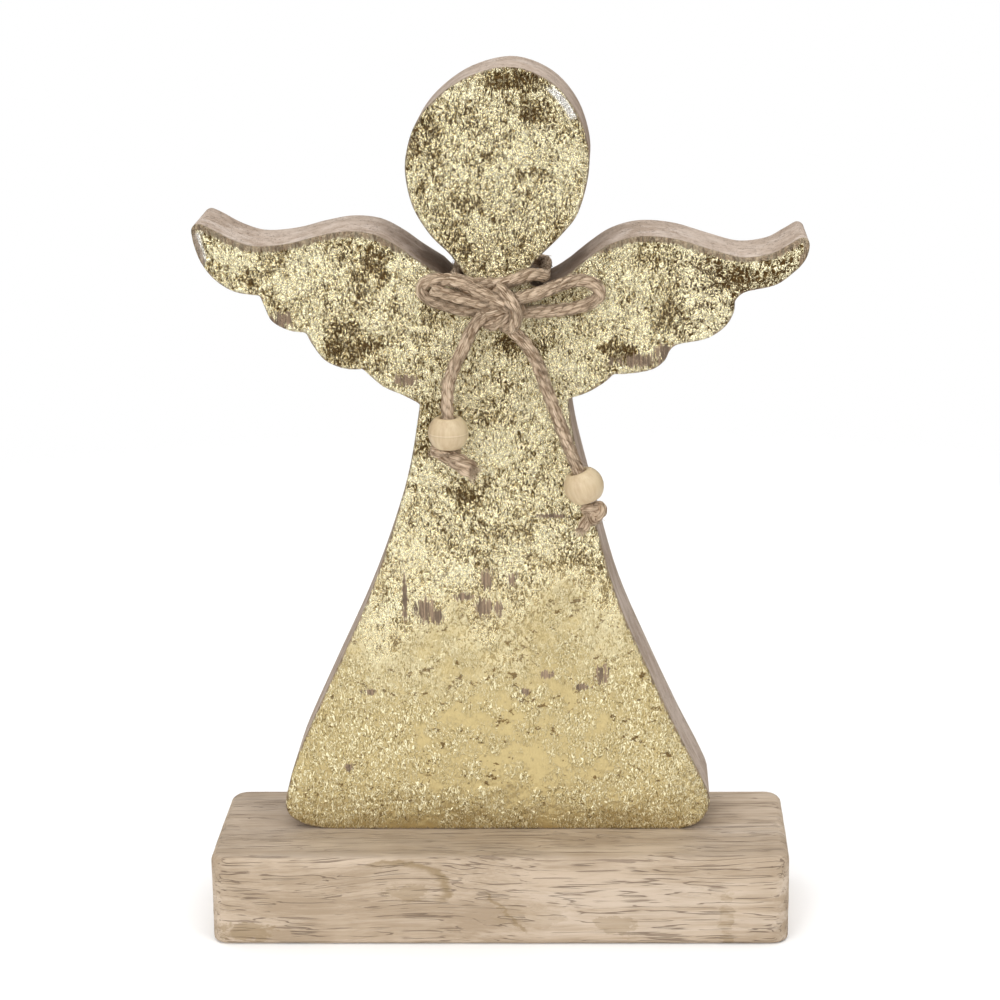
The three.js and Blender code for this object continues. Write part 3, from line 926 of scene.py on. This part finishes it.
INNER_TURN = [
    (-16.6, 4.6, 168), (-13.4, 5, 167), (-10.2, 5.1, 166), (-7, 5.2, 165.2),
    (-3.8, 5.4, 164.6), (-0.8, 5.4, 164),
]
LEFT_BEAD_SPOT = (-13.3, 132.0)
RIGHT_BEAD_SPOT = (20.2, 118.3)
RIGHT_TILT = math.radians(20)
BEAD_OUT = 5.35                            # a bead's middle, from the gilded face


def along_left(up):
    """A point on the straight end of the left tail, millimetres above the bead's middle."""
    x, z = LEFT_BEAD_SPOT
    return (x, BEAD_OUT, z + up)


def along_right(up):
    x, z = RIGHT_BEAD_SPOT
    return (x - up * math.sin(RIGHT_TILT), BEAD_OUT, z + up * math.cos(RIGHT_TILT))


LEFT_TAIL = [
    (-2.6, 5.4, 162.4), (-5.6, 5.5, 160.2), (-7.6, 5.4, 157), (-9.2, 5.35, 153.4),
    (-11.2, 5.35, 149.4), (-12.9, 5.35, 145), *(along_left(up) for up in (9, 5, 1, -3.85)),
]
RIGHT_TAIL = [
    (0.8, 5.4, 159.6), (3.4, 5.5, 157.3), (6, 5.4, 154.6),
    *(along_right(up) for up in (34, 27, 20, 13, 6, -3.85)),
]
LEFT_END = [
    (-17.2, 4.6, 127.4), (-15, 5.8, 126.9), (-12.6, 6.2, 125.8), (-10.4, 6, 124.3),
    (-8.2, 5.5, 122.6),
]
RIGHT_STUB = [(21.6, 5.6, 111), (20.8, 6, 109.3), (19.8, 6, 107.8)]


def cord_of_twine(name, corners, body, node, seed, closed=False):
    """One run of twine with its loose fibres, and the line that it follows."""
    line = route(corners, closed)
    yarn = Yarn(name, seed)
    yarn.twist(line, closed)
    yarn.fuzz(line, settings().twine.hairs, closed=closed)
    made = yarn.piece()
    dress(made, twine_material(), "jute_twine", body, node)
    return made, line + line[:1] if closed else line


def twine_material():
    return bpy.data.materials.get("jute_fibres") or jute()


def make_bow():
    """The band round the neck, the knot and the two loops."""
    band, band_line = cord_of_twine(
        "neck_band_twine", NECK_BAND, "figurine", "twine_neck_band", 11, closed=True
    )
    yarn = Yarn("bow_knot_twine", 12)
    for corners in (KNOT_WRAP, KNOT_BRIDGE, KNOT_LOBE, KNOT_FOLD, KNOT_CORE, INNER_TURN):
        line = route(corners)
        yarn.twist(line)
        yarn.fuzz(line, settings().twine.hairs * 1.3)
    knot = yarn.piece()
    dress(knot, twine_material(), "jute_twine", "figurine", "twine_bow_knot")
    left, left_line = cord_of_twine("loop_left_twine", LEFT_LOOP, "figurine", "twine_loop_left", 13)
    right, right_line = cord_of_twine("loop_right_twine", RIGHT_LOOP, "figurine", "twine_loop_right", 14)


def trefoil(centre, across, deep, high):
    """A closed overhand knot round a point [x, out, z]; the half sizes are to the twine's middle."""
    x, out, z = centre
    return [
        (
            x + across * (math.sin(t) + 2 * math.sin(2 * t)) / 2.6,
            out + deep * math.sin(3 * t),
            z + high * (math.cos(t) - 2 * math.cos(2 * t)) / 2.9,
        )
        for t in (2 * math.pi * k / 36 for k in range(36))
    ]


def make_tails():
    """The two hanging tails, each with the knot that keeps its bead on."""
    left, left_line = cord_of_twine("tail_left_twine", LEFT_TAIL, "left_tail", "twine_tail_left", 21)
    right, right_line = cord_of_twine("tail_right_twine", RIGHT_TAIL, "right_tail", "twine_tail_right", 22)

    yarn = Yarn("end_knot_left_twine", 23)
    end = route(LEFT_END)
    yarn.twist(end, size=1.15, flare=lambda share: 0.85 + 0.75 * share)
    yarn.twist(route([(-15.5, 3.4, 125.2), (-13.4, 3.6, 126.0), (-11.0, 4.2, 127.2)]), size=0.9)
    yarn.fuzz(end, 6, size=1.3)
    yarn.fray((-9.6, 5.6, 123.6), (0.82, 0.1, -0.62), 90, 4.2, 2.0)
    left_knot = yarn.piece()
    dress(left_knot, twine_material(), "jute_twine", "left_tail", "end_knot_left")

    yarn = Yarn("end_knot_right_twine", 24)
    middle = along_right(-7.3)
    turn = route(trefoil(middle, 1.95, 1.5, 2.0), closed=True, step=0.2)
    yarn.twist(turn, closed=True, size=0.82)
    yarn.fuzz(turn, 1.2, size=0.82, closed=True)
    yarn.twist(route(RIGHT_STUB), size=0.8, flare=lambda share: 1.0 + 0.5 * share)
    yarn.fray((19.9, 6.0, 108.0), (-0.45, 0.0, -0.9), 45, 2.4, 1.3)
    right_knot = yarn.piece()
    dress(right_knot, twine_material(), "jute_twine", "right_tail", "end_knot_right")


def make_bead(name, spot, tilt, body, node):
    """A ball cut flat at both ends, bored through and turned to its tail's slant."""
    sizes = settings().beads
    centre = (spot[0] * MM, FRONT - BEAD_OUT * MM, spot[1] * MM)
    half = sizes.height / 2
    rim = (sizes.radius**2 - half**2) ** 0.5
    deselect()
    bpy.ops.mesh.primitive_uv_sphere_add(segments=64, ring_count=33, radius=sizes.radius)
    bead = bpy.context.object
    bead.name = name
    bpy.ops.object.mode_set(mode="EDIT")
    for way in (1, -1):
        bpy.ops.mesh.select_all(action="SELECT")
        bpy.ops.mesh.bisect(
            plane_co=(0, 0, way * half), plane_no=(0, 0, way), clear_outer=True, use_fill=True
        )
    flat = half - 0.01 * MM
    select_where(bead, lambda points: all(abs(p.z) > flat for p in points), "FACE")
    bpy.ops.mesh.inset(thickness=rim - sizes.hole)
    bpy.ops.mesh.bridge_edge_loops()
    select_where(
        bead,
        lambda ends: all(abs(p.z) > flat for p in ends)
        and abs(ends[0].xy.length - ends[1].xy.length) < 0.05 * MM,
    )
    bpy.ops.mesh.bevel(offset=0.4 * MM, segments=4, affect="EDGES")
    bpy.ops.mesh.select_all(action="SELECT")
    bpy.ops.mesh.normals_make_consistent(inside=False)
    bpy.ops.object.mode_set(mode="OBJECT")
    bead.rotation_euler = (0, -tilt, 0)
    bead.location = centre
    take(bead)
    bpy.ops.object.transform_apply(location=True, rotation=True, scale=True)
    smooth(bead, 50)
    dress(bead, bead_wood(name + "_grain", centre, tilt), "bead_wood", body, node)
    return bead


def make_beads():
    make_bead("bead_left_wood", LEFT_BEAD_SPOT, 0.0, "left_bead", "bead_left")
    make_bead("bead_right_wood", RIGHT_BEAD_SPOT, RIGHT_TILT, "right_bead", "bead_right")


def make_stage():
    scene = bpy.context.scene
    scene.view_settings.view_transform = "Standard"
    camera = bpy.data.objects.new("camera", bpy.data.cameras.new("camera"))
    scene.collection.objects.link(camera)
    camera.data.lens = 96.9
    camera.data.sensor_width = 36
    camera.data.shift_x = -0.12
    camera.location = (29.2 * MM, -654.6 * MM, 299.6 * MM)
    camera.rotation_euler = (math.radians(90 - 16), 0, 0)
    camera.data.clip_start, camera.data.clip_end = 0.05, 20
    scene.camera = camera

    deselect()
    bpy.ops.mesh.primitive_circle_add(vertices=96, radius=1.2, fill_type="NGON", location=(0, 0, 0))
    floor = bpy.context.object
    floor.name = "floor"
    pale = Finish("pale_floor")
    reach = pale.node("ShaderNodeVectorMath", {"operation": "LENGTH"}, {0: pale.place()}, output="Value")
    pale.set(base_color=(0.95, 0.95, 0.95), roughness=0.8, alpha=reach.ramp(300.0, 520.0, 1.0, 0.0))
    floor.data.materials.append(pale.material)

    def panel(name, place, aim, size, radiance):
        """A soft light panel; radiance 1 is as bright as the white of the floor."""
        light = bpy.data.lights.new(name, "AREA")
        light.shape = "RECTANGLE"
        light.size, light.size_y = size
        light.energy = radiance * math.pi * size[0] * size[1]
        lamp = bpy.data.objects.new(name, light)
        scene.collection.objects.link(lamp)
        lamp.location = place
        lamp.rotation_euler = (Vector(aim) - Vector(place)).to_track_quat("-Z", "Y").to_euler()

    panel("front_window", (0.0, -1.7, 0.62), (0, 0, 0.25), (2.4, 1.3), 1.14)
    panel("key_light", (-0.55, -1.25, 0.75), (0, 0, 0.1), (0.4, 0.4), 6.5)
    panel("right_light", (0.75, -0.75, 0.85), (0, 0, 0.1), (0.4, 0.4), 5.4)
    panel("left_light", (-0.95, -0.75, 0.4), (0, 0, 0.12), (0.3, 0.3), 7.0)
    panel("overhead_light", (0.0, 0.1, 1.25), (0, 0, 0.1), (1.2, 0.9), 1.8)

    world = bpy.data.worlds.new("studio")
    scene.world = world
    world.use_nodes = True
    nodes, link = world.node_tree.nodes, world.node_tree.links.new

    def blend(share, first, second):
        """A colour between two; a tuple is a plain colour and a socket is linked."""
        made = nodes.new("ShaderNodeMix")
        made.data_type = "RGBA"
        link(share, made.inputs[0])
        for place, value in ((6, first), (7, second)):
            if isinstance(value, tuple):
                made.inputs[place].default_value = value
            else:
                link(value, made.inputs[place])
        return made.outputs[2]

    split = nodes.new("ShaderNodeSeparateXYZ")
    link(nodes.new("ShaderNodeTexCoord").outputs["Generated"], split.inputs[0])
    ramp = nodes.new("ShaderNodeMapRange")
    ramp.interpolation_type = "SMOOTHSTEP"
    link(split.outputs["Z"], ramp.inputs[0])
    ramp.inputs[1].default_value, ramp.inputs[2].default_value = 0.1, 0.7
    room = blend(ramp.outputs[0], (0.11, 0.07, 0.035, 1), (0.9, 0.9, 0.9, 1))
    seen = nodes.new("ShaderNodeLightPath").outputs["Is Camera Ray"]
    link(blend(seen, room, (1, 1, 1, 1)), nodes["Background"].inputs["Color"])


# ---------------------------------------------------------------- add-on
class ANGEL_OT_stage(bpy.types.Operator):
    """Camera, pale floor and soft studio lights"""

    bl_idname = "angel.stage"
    bl_label = "Stage"

    def execute(self, context):
        make_stage()
        return {"FINISHED"}


class ANGEL_OT_base(bpy.types.Operator):
    """Base block of washed wood, with the screws that hold the plank"""

    bl_idname = "angel.base"
    bl_label = "Base and Screws"

    def execute(self, context):
        make_base()
        return {"FINISHED"}


class ANGEL_OT_plank(bpy.types.Operator):
    """The angel, sawn from one plank"""

    bl_idname = "angel.plank"
    bl_label = "Plank Angel"

    def execute(self, context):
        make_plank()
        return {"FINISHED"}


class ANGEL_OT_leaf(bpy.types.Operator):
    """The crinkled sheet of metal leaf on the plank's face"""

    bl_idname = "angel.leaf"
    bl_label = "Gold Leaf"

    def execute(self, context):
        make_leaf()
        return {"FINISHED"}


class ANGEL_OT_beads(bpy.types.Operator):
    """The two turned wooden beads"""

    bl_idname = "angel.beads"
    bl_label = "Beads"

    def execute(self, context):
        make_beads()
        return {"FINISHED"}


class ANGEL_OT_bow(bpy.types.Operator):
    """The jute band round the neck, the knot and its two loops"""

    bl_idname = "angel.bow"
    bl_label = "Neck Band and Bow"

    def execute(self, context):
        make_bow()
        return {"FINISHED"}


class ANGEL_OT_tails(bpy.types.Operator):
    """The two hanging tails with their end knots"""

    bl_idname = "angel.tails"
    bl_label = "Tails and End Knots"

    def execute(self, context):
        make_tails()
        return {"FINISHED"}


PIECES = (
    ANGEL_OT_stage, ANGEL_OT_base, ANGEL_OT_plank, ANGEL_OT_leaf, ANGEL_OT_beads, ANGEL_OT_bow,
    ANGEL_OT_tails,
)
GROUPS = ("wood", "leaf", "twine", "beads")


class ANGEL_PT_pieces(bpy.types.Panel):
    """Sizes, colours and pieces of the angel"""

    bl_idname = "ANGEL_PT_pieces"
    bl_label = "Gilded Plank Angel"
    bl_space_type = "VIEW_3D"
    bl_region_type = "UI"
    bl_category = "Angel"

    def draw(self, context):
        layout = self.layout
        for group in GROUPS:
            box = layout.box()
            box.label(text=group.title())
            values = getattr(context.scene.angel, group)
            for name in values.bl_rna.properties.keys():
                if name not in ("rna_type", "name"):
                    box.prop(values, name)
        for piece in PIECES:
            layout.operator(piece.bl_idname)


CLASSES = (AngelWood, AngelLeaf, AngelTwine, AngelBeads, AngelSettings, *PIECES, ANGEL_PT_pieces)


def register():
    for made in CLASSES:
        bpy.utils.register_class(made)
    bpy.types.Scene.angel = bpy.props.PointerProperty(type=AngelSettings)


def unregister():
    del bpy.types.Scene.angel
    for made in reversed(CLASSES):
        bpy.utils.unregister_class(made)


def main():
    register()
    bpy.ops.angel.stage()
    bpy.ops.angel.base()
    bpy.ops.angel.plank()
    bpy.ops.angel.leaf()
    bpy.ops.angel.beads()
    bpy.ops.angel.bow()
    bpy.ops.angel.tails()


if __name__ == "__main__":
    main()
